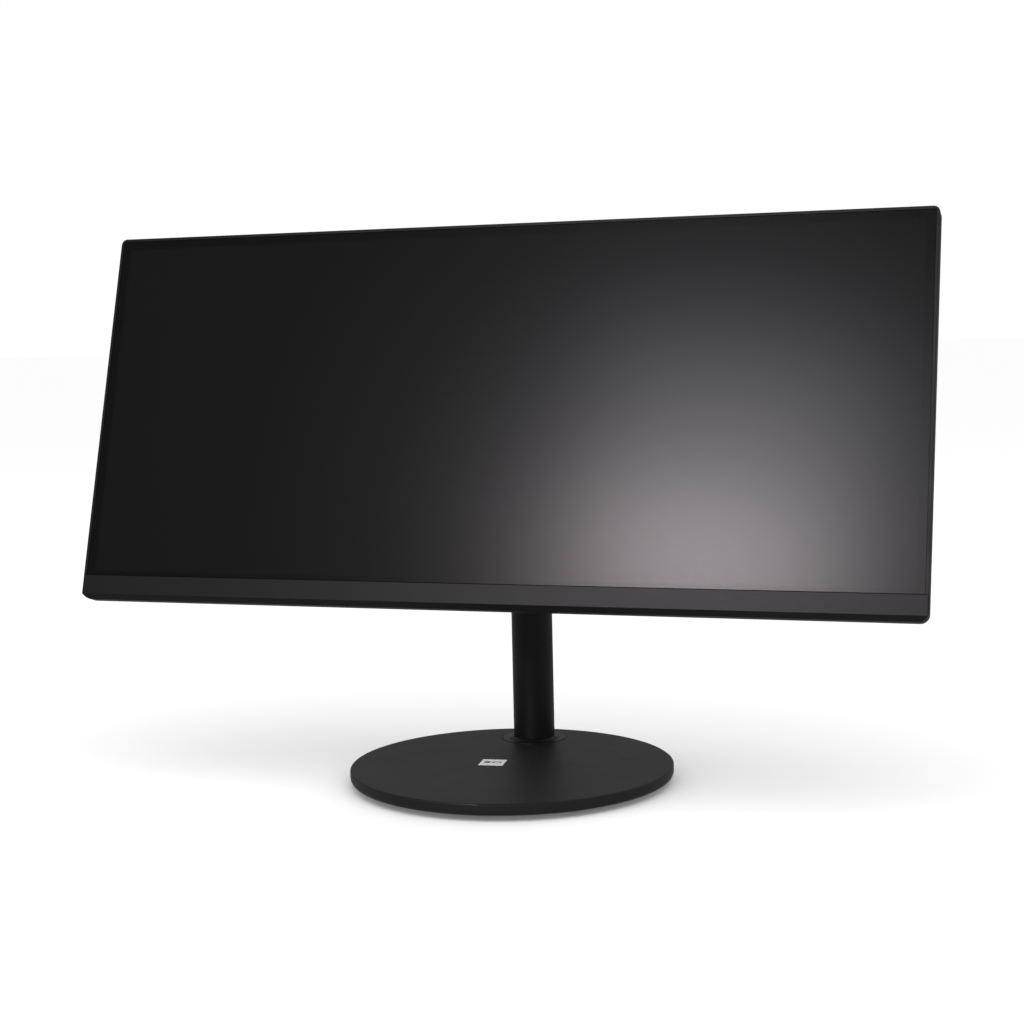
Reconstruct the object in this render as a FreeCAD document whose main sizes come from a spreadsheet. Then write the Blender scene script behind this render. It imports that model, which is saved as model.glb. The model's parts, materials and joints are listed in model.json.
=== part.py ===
"""Ultra-wide desktop computer monitor on a round-base stand, as an assembly of separate pieces.

Frame: millimetres, +Z up, -Y towards the person at the screen. The origin lies on the desk,
under the middle of the screen and level with the centre of the base disc.
The screen head is drawn upright about its tilt pin, then leaned back as it stands at rest.
The stand is drawn about the axis of its column; the base is turned a little under the column.
"""
import math
import os
import re

import FreeCAD
import Part

Vector = FreeCAD.Vector
Rotation = FreeCAD.Rotation
Placement = FreeCAD.Placement

# Driving dimensions: alias, value in millimetres or degrees, meaning.
SIZES = [
    # screen head, measured from the tilt pin with the head upright
    ("half_width", 346, "half of the head's width"),
    ("top_edge", 154.6, "top edge above the pin"),
    ("chin_low", -155, "lower edge of the front face"),
    ("lip_low", -158.8, "lowest edge, under the bevelled lip"),
    ("chin_top", -139, "upper edge of the chin trim"),
    ("front", -57, "front face of the frame"),
    ("seam", -45, "joint between front frame and rear cover"),
    ("slim_back", -41, "rear face of the slim outer part"),
    ("bulge_back", -17, "rear face of the electronics bulge"),
    ("lip", 2.5, "visible rim around the screen"),
    ("corner_top", 5, "radius of the upper corners"),
    ("corner_low", 7, "radius of the lower corners"),
    ("wall", 2.2, "wall of the rear cover"),
    ("bulge_foot_half", 212, "bulge half width where it leaves the slim part"),
    ("bulge_top_half", 170, "bulge half width at its rear face"),
    ("bulge_foot_low", -122, "bulge lower edge at the slim part"),
    ("bulge_foot_high", 116, "bulge upper edge at the slim part"),
    ("bulge_top_low", -84, "bulge lower edge at its rear face"),
    ("bulge_top_high", 70, "bulge upper edge at its rear face"),
    ("recess_half", 62, "half size of the square stand recess"),
    ("recess_floor", -23, "floor of the stand recess"),
    ("vesa_half", 50, "half spacing of the 100 mm square mounting pattern"),
    ("vesa_hole", 2, "radius of the M4 mounting holes"),
    ("recess_wall", 2.5, "wall of the stand recess and of the port pocket"),
    ("fix_half", 33, "half spacing of the screws that hold the stand plate"),
    ("fork_across", 19, "half spacing of the fork screws, sideways"),
    ("fork_up", 17, "half spacing of the fork screws, up and down"),
    ("fork_screw", 1.9, "radius of the fork screws"),
    # display stack
    ("glass_front", -56.6, "front of the display glass"),
    ("glass_back", -55, "back of the display glass"),
    ("guide_front", -53.9, "front of the light guide"),
    ("guide_back", -50.9, "back of the light guide"),
    ("chassis_back", -49.4, "back of the metal panel chassis"),
    ("rib_half", 272, "half length of the stiffening ribs on the chassis"),
    ("board_front", -40, "front of the circuit boards"),
    ("board_back", -38.4, "back of the circuit boards"),
    # input ports, in a pocket of the rear cover
    ("port_left", -158, "port pocket, end near the head's side"),
    ("port_right", -74, "port pocket, end near the middle"),
    ("port_low", -40, "port pocket, lower side"),
    ("port_high", -10, "port pocket, upper side"),
    ("port_floor", -29, "port pocket, floor"),
    ("port_row", -25, "height of the row of sockets"),
    # menu joystick
    ("stick_across", 290, "joystick, sideways place"),
    ("stick_up", -118, "joystick, height"),
    ("stick_centre", -46.5, "joystick, centre of its tilting"),
    # tilt hinge
    ("tilt_rest", 17, "lean of the head at rest"),
    ("pin_radius", 4, "tilt pin"),
    ("knuckle_radius", 9, "eye of the carriage around the pin"),
    ("knuckle_half", 7, "half width of that eye"),
    ("running_gap", 0.05, "radial gap of running fits"),
    ("pin_ahead", 48.9, "pin in front of the column axis"),
    ("pin_height", 282.1, "pin above the desk at rest"),
    # column
    ("column_radius", 17.4, "outside of the column tube"),
    ("tube_wall", 4.2, "wall of the column tube"),
    ("column_low", 15.6, "lower end of the tube"),
    ("column_high", 374, "upper end of the tube"),
    ("slot_half", 7.6, "half width of the slot for the carriage"),
    ("slot_low", 206, "lower end of the slot"),
    ("slot_high", 360, "upper end of the slot"),
    # base
    ("column_back", 94.7, "column axis behind the origin"),
    ("base_turn", 6.7, "base turned under the column at rest"),
    ("base_offset", 95.4, "column axis behind the disc's centre"),
    ("base_radius", 130.3, "base disc"),
    ("base_top", 13.3, "top of the base disc"),
    ("base_under", 3.7, "underside of the base disc"),
    ("plate_top", 6.7, "top of the steel base plate"),
    ("cover_ceiling", 11.1, "inside of the base cover"),
    ("collar_radius", 27.2, "rotating collar at the column's foot"),
    ("collar_top", 13.7, "top of that collar"),
    ("post_radius", 7, "swivel post"),
    ("thumb_radius", 3, "thumbscrew thread"),
]

# The four corners of a square pattern: sideways and upward signs.
CORNERS = [(-1, -1), (1, -1), (1, 1), (-1, 1)]

# Length of a cut that passes through the whole head, and the pitch of the vent slots.
THROUGH = 300
VENT_PITCH = 6

# Rear cover screws: place across and height, from the pin.
COVER_SCREWS = [(-322, 140), (322, 140), (-322, -142), (322, -142),
                (-92, -136), (92, -136), (-160, 136), (160, 136)]

# Posts and screws of the two large circuit boards.
BOARD_SPOTS = [(-158, -58), (-72, -58), (-158, 54), (-72, 54), (74, -42), (154, -42), (74, 40), (154, 40)]

# Rubber feet: how far their centres stand inside the disc's edge, and their bearings.
# None stands straight behind, where the thumbscrew is.
FOOT_INSET = 30
FOOT_BEARINGS = (0, 72, 144, -144, -72)

# Sockets in the port pocket: place across.
PORTS = {"dc_socket": -150, "hdmi_first": -134, "hdmi_second": -114, "displayport": -95, "audio_jack": -80}


def disc_spots(inset, bearings):
    """Places near the base disc's edge, from the column axis; a bearing of 0 degrees points at the user."""
    return [(f"(base_radius - {inset}) * {math.sin(math.radians(bearing)):.4f}",
             f"-base_offset - (base_radius - {inset}) * {math.cos(math.radians(bearing)):.4f}")
            for bearing in bearings]


BASE_SCREWS = disc_spots(18, (108, 36, -36, -108))
FEET = disc_spots(FOOT_INSET, FOOT_BEARINGS)

document = FreeCAD.newDocument("monitor")
sheet = document.addObject("Spreadsheet::Sheet", "Sizes")
for row, (alias, value, meaning) in enumerate(SIZES, start=1):
    sheet.set(f"A{row}", alias)
    sheet.set(f"B{row}", str(value))
    sheet.set(f"C{row}", meaning)
    sheet.setAlias(f"B{row}", alias)
document.recompute()

nodes = {}


def in_sheet(rule):
    """Point the names in a rule at the sheet's cells."""
    return re.sub(r"[a-z][a-z_]*", r"Sizes.\g<0>", str(rule))


def size(alias):
    return float(sheet.get(alias))


def bind(target, **rules):
    for prop, rule in rules.items():
        target.setExpression(prop.replace("__", "."), in_sheet(rule))


# ---------------------------------------------------------------- bodies and their features

def new_body(label):
    body = document.addObject("PartDesign::Body", "Body_" + label)
    body.Label = label
    nodes[label] = body
    return body


def block(body, name, x, y, z, cut=False):
    """A box between two rules on each axis, added to a body or cut from it."""
    kind = "PartDesign::SubtractiveBox" if cut else "PartDesign::AdditiveBox"
    box = body.newObject(kind, name)
    bind(box, Length=f"({x[1]}) - ({x[0]})", Width=f"({y[1]}) - ({y[0]})", Height=f"({z[1]}) - ({z[0]})",
         Placement__Base__x=x[0], Placement__Base__y=y[0], Placement__Base__z=z[0])
    return box


TURN = {"X": Rotation(Vector(0, 1, 0), 90), "Y": Rotation(Vector(1, 0, 0), -90), "Z": Rotation()}


def place_along(thing, axis, start, at):
    """Put a round thing on the line through `at`, beginning at `start` along that axis."""
    thing.Placement = Placement(Vector(), TURN[axis])
    spot = {"X": (start, at[0], at[1]), "Y": (at[0], start, at[1]), "Z": (at[0], at[1], start)}[axis]
    bind(thing, Placement__Base__x=spot[0], Placement__Base__y=spot[1], Placement__Base__z=spot[2])


def rod(body, name, radius, ends, at=(0, 0), axis="Y", cut=False):
    """A cylinder along an axis; `at` gives its place on the two other axes, in x, y, z order."""
    kind = "PartDesign::SubtractiveCylinder" if cut else "PartDesign::AdditiveCylinder"
    cylinder = body.newObject(kind, name)
    bind(cylinder, Radius=radius, Height=f"({ends[1]}) - ({ends[0]})")
    place_along(cylinder, axis, ends[0], at)
    return cylinder


def cone(body, name, radii, ends, at=(0, 0), axis="Z", cut=False):
    kind = "PartDesign::SubtractiveCone" if cut else "PartDesign::AdditiveCone"
    taper = body.newObject(kind, name)
    bind(taper, Radius1=radii[0], Radius2=radii[1], Height=f"({ends[1]}) - ({ends[0]})")
    place_along(taper, axis, ends[0], at)
    return taper


def wedge(body, name, foot, top, y, cut=False):
    """A tapered block: `foot` and `top` are (half width, low z, high z) at the two ends in y."""
    kind = "PartDesign::SubtractiveWedge" if cut else "PartDesign::AdditiveWedge"
    shape = body.newObject(kind, name)
    bind(shape, Xmin=f"-({foot[0]})", Xmax=foot[0], Zmin=foot[1], Zmax=foot[2],
         X2min=f"-({top[0]})", X2max=top[0], Z2min=top[1], Z2max=top[2], Ymin=y[0], Ymax=y[1])
    return shape


def finish_edges(body, name, amount, chosen, kind="Fillet"):
    """Round or chamfer the edges of the body's last feature that `chosen` accepts."""
    document.recompute()
    base = body.Tip
    picked = [f"Edge{number}" for number, edge in enumerate(base.Shape.Edges, start=1) if chosen(edge)]
    if not picked:
        raise RuntimeError(f"no edge to finish for {name} of {body.Label}")
    feature = body.newObject("PartDesign::" + kind, name)
    feature.Base = (base, picked)
    bind(feature, **{"Radius" if kind == "Fillet" else "Size": amount})
    return feature


def origin_plane(body, role):
    return next(item for item in body.Origin.OriginFeatures if item.Role == role)


def slot_row(body, name, first, slot, count):
    """A row of upright slots cut right through a body along Y; `slot` is their width and straight height."""
    left, right = first[0] - slot[0] / 2, first[0] + slot[0] / 2
    low, high = first[1], first[1] + slot[1]
    sketch = body.newObject("Sketcher::SketchObject", name + "Outline")
    sketch.AttachmentSupport = [(origin_plane(body, "XZ_Plane"), "")]
    sketch.MapMode = "FlatFace"
    for across in (left, right):
        sketch.addGeometry(Part.LineSegment(Vector(across, low, 0), Vector(across, high, 0)), False)
    for level, start in ((low, math.pi), (high, 0)):
        ring = Part.Circle(Vector(first[0], level, 0), Vector(0, 0, 1), slot[0] / 2)
        sketch.addGeometry(Part.ArcOfCircle(ring, start, start + math.pi), False)
    pocket = body.newObject("PartDesign::Pocket", name)
    pocket.Profile = sketch
    pocket.Midplane = True
    pocket.Type = "Length"
    pocket.Length = THROUGH
    document.recompute()
    pattern = body.newObject("PartDesign::LinearPattern", name + "Row")
    pattern.Originals = [pocket]
    pattern.Direction = (sketch, ["H_Axis"])
    pattern.Length = VENT_PITCH * (count - 1)
    pattern.Occurrences = count
    body.Tip = pattern
    document.recompute()
    return pattern


def along_y(edge):
    """True for a straight edge that runs front to back."""
    return edge.Curve.TypeId == "Part::GeomLine" and abs(edge.tangentAt(edge.FirstParameter).y) > 0.999


def at_height(value, tolerance=0.01):
    """Chooses the edges that lie wholly at one height."""
    return lambda edge: (abs(edge.BoundBox.ZMin - value) < tolerance
                         and abs(edge.BoundBox.ZMax - value) < tolerance)


def at_depth(value, tolerance=0.01):
    """Chooses the edges that lie wholly at one distance front to back."""
    return lambda edge: (abs(edge.BoundBox.YMin - value) < tolerance
                         and abs(edge.BoundBox.YMax - value) < tolerance)


# ---------------------------------------------------------------- groups of identical pieces

def primitive(kind, name, **rules):
    item = document.addObject(kind, name)
    bind(item, **rules)
    return item


def cylinder_piece(name, radius, ends, at, axis):
    item = primitive("Part::Cylinder", name, Radius=radius, Height=f"({ends[1]}) - ({ends[0]})")
    place_along(item, axis, ends[0], at)
    return item


def fuse(name, pieces):
    joined = document.addObject("Part::MultiFuse", name)
    joined.Shapes = pieces
    return joined


def cut(name, base, tool):
    result = document.addObject("Part::Cut", name)
    result.Base = base
    result.Tool = tool
    return result


def screw(name, shank, head, start, under_head, end, at, axis):
    """A pan-head screw: shank from `start` to `under_head`, head from there to `end`."""
    body = cylinder_piece(name + "_shank", shank, (start, under_head), at, axis)
    top = cylinder_piece(name + "_head", head, (under_head, end), at, axis)
    floor = f"({under_head}) + (({end}) - ({under_head})) * 0.45"
    drive = cylinder_piece(name + "_drive", f"{head} * 0.42", (floor, end), at, axis)
    return cut(name, fuse(name + "_blank", [body, top]), drive)


def group(label, pieces):
    """Separate solids of one kind, kept in one node."""
    holder = document.addObject("Part::Compound", "Group_" + label)
    holder.Label = label
    holder.Links = pieces
    nodes[label] = holder
    return holder


def box_piece(name, x, y, z):
    item = primitive("Part::Box", name, Length=f"({x[1]}) - ({x[0]})", Width=f"({y[1]}) - ({y[0]})",
                     Height=f"({z[1]}) - ({z[0]})")
    bind(item, Placement__Base__x=x[0], Placement__Base__y=y[0], Placement__Base__z=z[0])
    return item




# ---------------------------------------------------------------- screen head: housing

def front_frame():
    """Thin rim around the screen, with the bevelled lip under the chin."""
    body = new_body("front_frame")
    block(body, "Slab", ("-half_width", "half_width"), ("front", "seam"), ("lip_low", "top_edge"))
    low_front = lambda edge: at_depth(size("front"))(edge) and at_height(size("lip_low"))(edge)
    finish_edges(body, "Bevel", "chin_low - lip_low", low_front, "Chamfer")
    finish_edges(body, "UpperCorners", "corner_top",
                 lambda edge: along_y(edge) and edge.BoundBox.ZMin > size("top_edge") - 1)
    finish_edges(body, "LowerCorners", "corner_low",
                 lambda edge: along_y(edge) and edge.BoundBox.ZMax < size("lip_low") + 1)
    inner = ("-(half_width - lip)", "half_width - lip")
    block(body, "ScreenOpening", inner, ("front - 1", "seam + 1"), ("chin_top", "top_edge - lip"), cut=True)
    block(body, "ChinCavity", inner, ("front + 4.6", "seam + 1"), ("lip_low + 3.7", "chin_top + 1"), cut=True)
    block(body, "ChinSeat", ("-half_width - 1", "half_width + 1"), ("front - 1", "front + 1.8"),
          ("chin_low", "chin_top"), cut=True)
    block(body, "LampHole", ("half_width - 16", "half_width - 10"), ("front + 5.5", "front + 8.5"),
          ("lip_low - 1", "lip_low + 4"), cut=True)
    finish_edges(body, "SoftRim", 0.4, lambda edge: at_depth(size("front"))(edge)
                 and edge.BoundBox.ZMax > size("top_edge") - 0.1 and edge.Curve.TypeId == "Part::GeomLine")


def chin_trim():
    """Bar across the lower front, a little proud of the screen."""
    body = new_body("chin_trim")
    block(body, "Bar", ("-half_width + 0.2", "half_width - 0.2"), ("front - 0.3", "front + 1.8"),
          ("chin_low", "chin_top"))
    finish_edges(body, "SoftEdges", 0.5, at_depth(size("front") - 0.3))


def power_lamp_lens():
    body = new_body("power_lamp_lens")
    block(body, "Lens", ("half_width - 15.8", "half_width - 10.2"), ("front + 5.7", "front + 8.3"),
          ("lip_low + 0.2", "lip_low + 6"))


def rear_cover():
    """Slim moulded back with a window for the electronics cover."""
    body = new_body("rear_cover")
    block(body, "Slab", ("-half_width", "half_width"), ("seam", "slim_back"), ("lip_low", "top_edge"))
    finish_edges(body, "UpperCorners", "corner_top",
                 lambda edge: along_y(edge) and edge.BoundBox.ZMin > size("top_edge") - 1)
    finish_edges(body, "LowerCorners", "corner_low",
                 lambda edge: along_y(edge) and edge.BoundBox.ZMax < size("lip_low") + 1)
    finish_edges(body, "SoftRim", 2.5, at_depth(size("slim_back")))
    block(body, "SlimCavity", ("-(half_width - wall)", "half_width - wall"), ("seam - 1", "seam + 1.8"),
          ("lip_low + wall", "top_edge - wall"), cut=True)
    block(body, "Window", ("-(bulge_foot_half - 5)", "bulge_foot_half - 5"), ("seam - 1", "slim_back + 1"),
          ("bulge_foot_low + 4", "bulge_foot_high - 4.6"), cut=True)
    for number, spot in enumerate(COVER_SCREWS):
        rod(body, f"ScrewHole{number}", 1.9, ("seam - 1", "slim_back + 1"), spot, cut=True)
        rod(body, f"ScrewSink{number}", 4, ("slim_back - 0.6", "slim_back + 1"), spot, cut=True)
    rod(body, "StickHole", 9, ("seam - 1", "slim_back + 1"), ("stick_across", "stick_up"), cut=True)


def electronics_cover():
    """Tapered cover over the circuit boards, with the port pocket, the vents and the lock slot."""
    body = new_body("electronics_cover")
    wedge(body, "Bulge", ("bulge_foot_half", "bulge_foot_low", "bulge_foot_high"),
          ("bulge_top_half", "bulge_top_low", "bulge_top_high"), ("slim_back", "bulge_back"))
    rear = at_depth(size("bulge_back"))
    slanted = lambda edge: (edge.BoundBox.YMin < size("slim_back") + 0.1
                            and edge.BoundBox.YMax > size("bulge_back") - 0.1)
    finish_edges(body, "BulgeEdges", 9, lambda edge: rear(edge) or slanted(edge))
    wedge(body, "BulgeCavity", ("bulge_foot_half - 5", "bulge_foot_low + 4", "bulge_foot_high - 4.6"),
          ("bulge_top_half - 7", "bulge_top_low + 5", "bulge_top_high - 6"),
          ("slim_back - 2.2", "bulge_back - wall"), cut=True)
    across = ("-(recess_half + recess_wall)", "recess_half + recess_wall")
    block(body, "RecessWindow", across, ("bulge_back - 4", "bulge_back + 1"), across, cut=True)
    block(body, "PortWalls", ("port_left - recess_wall", "port_right + recess_wall"),
          ("port_floor", "bulge_back - 1"), ("port_low - recess_wall", "port_high + recess_wall"))
    block(body, "PortPocket", ("port_left", "port_right"), ("port_floor - 1", "bulge_back + 1"),
          ("port_low", "port_high"), cut=True)
    block(body, "LockSlot", ("bulge_top_half - 22", "bulge_top_half - 14"),
          ("bulge_back - 4", "bulge_back + 1"), ("bulge_top_low + 12", "bulge_top_low + 15"), cut=True)
    slot_row(body, "UpperVents", (-150, 84), (2.4, 16), 51)
    slot_row(body, "LowerVentsLeft", (-172, -104), (2.4, 10), 12)
    slot_row(body, "LowerVentsRight", (106, -104), (2.4, 10), 12)


def stand_recess():
    """Square tray that the stand plate drops into; its floor carries the mounting pattern."""
    body = new_body("stand_recess")
    outside = ("-(recess_half + recess_wall)", "recess_half + recess_wall")
    inside = ("-recess_half", "recess_half")
    block(body, "Tray", outside, ("recess_floor - 3", "bulge_back"), outside)
    block(body, "Recess", inside, ("recess_floor", "bulge_back + 1"), inside, cut=True)
    for number, (side, level) in enumerate(CORNERS):
        rod(body, f"InsertHole{number}", "vesa_hole + 2", ("recess_floor - 5", "recess_floor + 1"),
            (f"{side} * vesa_half", f"{level} * vesa_half"), cut=True)
        rod(body, f"FixHole{number}", 2.3, ("recess_floor - 5", "recess_floor + 1"),
            (f"{side} * fix_half", f"{level} * fix_half"), cut=True)


def cover_screws():
    pieces = []
    for number, spot in enumerate(COVER_SCREWS):
        pieces.append(screw(f"cover_screw_{number}", 1.5, 2.8, "seam - 2.4", "slim_back - 0.6",
                            "slim_back + 0.6", spot, "Y"))
    group("cover_screws", pieces)


# ---------------------------------------------------------------- screen head: display stack

STACK_X = ("-(half_width - lip - 0.3)", "half_width - lip - 0.3")
STACK_Z = ("chin_top + 0.3", "top_edge - lip - 0.3")


def sheet_part(label, inset, y, low_extra=0):
    """A flat rectangular layer of the display, inset from the frame's opening."""
    body = new_body(label)
    x = (f"-(half_width - lip - {inset})", f"half_width - lip - {inset}")
    z = (f"chin_top + {inset} + {low_extra}", f"top_edge - lip - {inset}")
    block(body, "Layer", x, y, z)
    return body


def display_stack():
    sheet_part("display_glass", 0.3, ("glass_front", "glass_back"))
    sheet_part("diffuser_films", 3.6, ("guide_front - 0.9", "guide_front - 0.1"))
    sheet_part("light_guide", 3.8, ("guide_front", "guide_back"), 0.8)
    sheet_part("reflector_sheet", 3.8, ("guide_back + 0.05", "guide_back + 0.35"), 0.8)
    cell = new_body("cell_frame")
    block(cell, "Ring", STACK_X, ("glass_back + 0.1", "chassis_back"), STACK_Z)
    block(cell, "Window", ("-(half_width - lip - 3.3)", "half_width - lip - 3.3"),
          ("glass_back - 1", "chassis_back + 1"), ("chin_top + 3.3", "top_edge - lip - 3.3"), cut=True)
    chassis = sheet_part("panel_chassis", 3.4, ("chassis_back - 1", "chassis_back"))
    for number, level in enumerate((-110, -70, 70, 110)):
        block(chassis, f"Rib{number}", ("-rib_half", "rib_half"),
              ("chassis_back - 0.2", "chassis_back + 1.6"), (level - 4, level + 4))


def backlight_strip():
    """Narrow board with a row of light-emitting diodes that shine up into the light guide."""
    count, pitch = 48, 13.8
    pieces = [box_piece("backlight_bar", ("-(half_width - 8)", "half_width - 8"),
                        ("guide_front", "guide_back"), ("chin_top + 3.4", "chin_top + 3.9"))]
    for number in range(count):
        middle = (number - (count - 1) / 2) * pitch
        pieces.append(box_piece(f"lamp_{number}", (middle - 1.8, middle + 1.8),
                                ("guide_front + 0.7", "guide_back - 0.7"),
                                ("chin_top + 3.8", "chin_top + 4.5")))
    strip = fuse("Node_backlight_strip", pieces)
    strip.Label = "backlight_strip"
    nodes["backlight_strip"] = strip


def timing_board():
    body = new_body("timing_board")
    block(body, "Board", (-150, 150), ("chassis_back + 0.1", "chassis_back + 1.3"), (-133, -117))
    for number, across in enumerate((-110, -40, 40, 110)):
        block(body, f"Chip{number}", (across - 7, across + 7), ("chassis_back + 1.2", "chassis_back + 2.4"),
              (-130, -120))


# ---------------------------------------------------------------- screen head: electronics

def main_board():
    body = new_body("main_board")
    block(body, "Board", (-162, -68), ("board_front", "board_back"), (-62, 58))
    chips = ((-100, 10, 10), (-135, 15, 6), (-100, 42, 5), (-140, 45, 4))
    for number, (across, up, half) in enumerate(chips):
        block(body, f"Chip{number}", (across - half, across + half), ("board_back - 0.1", "board_back + 2"),
              (up - half, up + half))


def driver_board():
    body = new_body("backlight_driver_board")
    block(body, "Board", (70, 158), ("board_front", "board_back"), (-46, 44))
    for number, (across, up) in enumerate(((88, 24), (108, 24), (88, 2), (128, -20))):
        rod(body, f"Capacitor{number}", 5, ("board_back - 0.1", "board_back + 9"), (across, up))
    block(body, "Coil", (128, 146), ("board_back - 0.1", "board_back + 8"), (6, 24))


def board_standoffs():
    posts = [cylinder_piece(f"standoff_{number}", 2.6, ("chassis_back", "board_front"), spot, "Y")
             for number, spot in enumerate(BOARD_SPOTS)]
    group("board_standoffs", posts)


def board_screws():
    heads = [screw(f"board_screw_{number}", 1.2, 2.6, "board_back", "board_back + 0.1",
                   "board_back + 1.9", spot, "Y")
             for number, spot in enumerate(BOARD_SPOTS)]
    group("board_screws", heads)


def heat_sink():
    body = new_body("heat_sink")
    block(body, "Base", (-112, -88), ("board_back + 2", "board_back + 3.5"), (-2, 22))
    for number in range(7):
        left = -112 + number * 3.8
        block(body, f"Fin{number}", (left, left + 1.2), ("board_back + 3.4", "board_back + 8"), (-2, 22))


def port_panel():
    """Steel plate that closes the port pocket and holds the sockets."""
    body = new_body("port_panel")
    block(body, "Plate", ("port_left - 2", "port_right + 2"), ("port_floor - 1", "port_floor"),
          ("port_low - 2", "port_high + 2"))
    for name, across in PORTS.items():
        reach = 4.7 if name in ("dc_socket", "audio_jack") else 8.2
        block(body, "Window_" + name, (across - reach, across + reach), ("port_floor - 2", "port_floor + 1"),
              ("port_row - 4.7", "port_row + 4.7"), cut=True)


def flat_socket(name, across, half):
    """Metal shell of a flat digital connector, standing up from the board, with its tongue."""
    shell = box_piece(name + "_shell", (across - half, across + half), ("board_back", "port_floor + 2"),
                      ("port_row - 3.2", "port_row + 3.2"))
    mouth = box_piece(name + "_mouth", (across - half + 0.6, across + half - 0.6),
                      ("port_floor - 8", "port_floor + 3"), ("port_row - 2.6", "port_row + 2.6"))
    tongue = box_piece(name + "_tongue", (across - half + 2.2, across + half - 2.2),
                       ("port_floor - 8", "port_floor + 0.5"), ("port_row - 0.7", "port_row + 0.9"))
    return fuse(name, [cut(name + "_hollow", shell, mouth), tongue])


def sockets():
    """Digital, supply and audio sockets on the main board."""
    halves = {"hdmi_first": 7.6, "hdmi_second": 7.6, "displayport": 7.9}
    group("digital_sockets", [flat_socket(name, PORTS[name], half) for name, half in halves.items()])
    supply = new_body("dc_socket")
    across = PORTS["dc_socket"]
    block(supply, "Housing", (across - 4.5, across + 4.5), ("board_back", "port_floor + 1.5"),
          ("port_row - 4.5", "port_row + 4.5"))
    rod(supply, "Mouth", 2.9, ("port_floor - 7", "port_floor + 2"), (across, "port_row"), cut=True)
    rod(supply, "CentrePin", 1.1, ("port_floor - 8", "port_floor + 1"), (across, "port_row"))
    jack = new_body("audio_jack")
    across = PORTS["audio_jack"]
    block(jack, "Housing", (across - 4.2, across + 4.2), ("board_back", "port_floor + 0.5"),
          ("port_row - 4.2", "port_row + 4.2"))
    rod(jack, "Collar", 3, ("port_floor", "port_floor + 2.4"), (across, "port_row"))
    rod(jack, "Bore", 1.8, ("board_back + 1.4", "port_floor + 4"), (across, "port_row"), cut=True)


def board_shield():
    """Folded tin cover over the upper half of the main board."""
    body = new_body("board_shield")
    block(body, "Tray", (-164, -66.5), ("board_back + 0.2", "board_back + 11"), (-4, 60))
    block(body, "Inside", (-163, -67.5), ("board_back - 1", "board_back + 10.2"), (-3, 59), cut=True)


def speakers():
    """Two closed speaker boxes with their drivers facing back."""
    boxes = []
    for name, side in (("speaker_left", -1), ("speaker_right", 1)):
        low, high = sorted((side * 112, side * 166))
        case = box_piece(name + "_case", (low, high), ("seam + 2", "bulge_back - 13.5"), (-96, -74))
        cone_spot = (side * 128, -85)
        driver = cylinder_piece(name + "_driver", 8, ("bulge_back - 13.6", "bulge_back - 12.6"),
                                cone_spot, "Y")
        dish = cylinder_piece(name + "_dish", 6.4, ("bulge_back - 13.3", "bulge_back - 12"), cone_spot, "Y")
        boxes.append(cut(name, fuse(name + "_blank", [case, driver]), dish))
    group("speakers", boxes)


def ribbon_cable():
    """Flat flexible cable from the main board down to the timing board."""
    body = new_body("ribbon_cable")
    across = (-110, -84)
    block(body, "Down", across, ("board_front - 0.5", "board_front - 0.1"), (-112, -56))
    block(body, "Fold", across, ("chassis_back + 2.6", "board_front - 0.1"), (-112.4, -112))
    block(body, "End", across, ("chassis_back + 2.6", "chassis_back + 3"), (-124, -112))


# ---------------------------------------------------------------- screen head: joystick

def joystick():
    across, up = "stick_across", "stick_up"
    switch = new_body("joystick_switch")
    block(switch, "Board", ("stick_across - 11", "stick_across + 11"),
          ("stick_centre - 2.9", "stick_centre - 1.8"), ("stick_up - 9", "stick_up + 9"))
    block(switch, "Housing", ("stick_across - 6", "stick_across + 6"),
          ("stick_centre - 1.9", "stick_centre + 1.3"), ("stick_up - 6", "stick_up + 6"))
    rod(switch, "Well", 4.6, ("stick_centre - 1.6", "stick_centre + 2"), (across, up), cut=True)
    gimbal = new_body("joystick_gimbal")
    rod(gimbal, "Ring", 3.8, ("stick_centre - 0.5", "stick_centre + 0.5"), (across, up))
    rod(gimbal, "Trunnions", 0.5, ("stick_across - 4.4", "stick_across + 4.4"),
        ("stick_centre", up), axis="X")
    rod(gimbal, "Eye", 2.3, ("stick_centre - 1", "stick_centre + 1"), (across, up), cut=True)
    stem = new_body("joystick_stem")
    rod(stem, "Stem", 1.5, ("stick_centre - 1.2", "stick_centre + 7"), (across, up))
    rod(stem, "CrossPin", 0.5, ("stick_up - 2.2", "stick_up + 2.2"), (across, "stick_centre"), axis="Z")
    cap = new_body("joystick_cap")
    rod(cap, "Disc", 6.2, ("stick_centre + 4.2", "stick_centre + 10.5"), (across, up))
    finish_edges(cap, "SoftEdge", 1.2, at_depth(size("stick_centre") + 10.5))
    rod(cap, "Waist", 1.55, ("stick_centre + 4", "stick_centre + 8.4"), (across, up), cut=True)
    rod(cap, "Dimple", 2.4, ("stick_centre + 10", "stick_centre + 11"), (across, up), cut=True)


# ---------------------------------------------------------------- stand attachment and tilt hinge

def mounting_plate():
    body = new_body("mounting_plate")
    block(body, "Plate", (-66, 66), ("recess_floor - 4.6", "recess_floor - 3"), (-66, 66))
    for number, (side, level) in enumerate(CORNERS):
        rod(body, f"InsertHole{number}", "vesa_hole + 2", ("recess_floor - 6", "recess_floor"),
            (f"{side} * vesa_half", f"{level} * vesa_half"), cut=True)
        rod(body, f"BracketHole{number}", 1.9, ("recess_floor - 6", "recess_floor"),
            (f"{side} * fix_half", f"{level} * fix_half"), cut=True)


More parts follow.
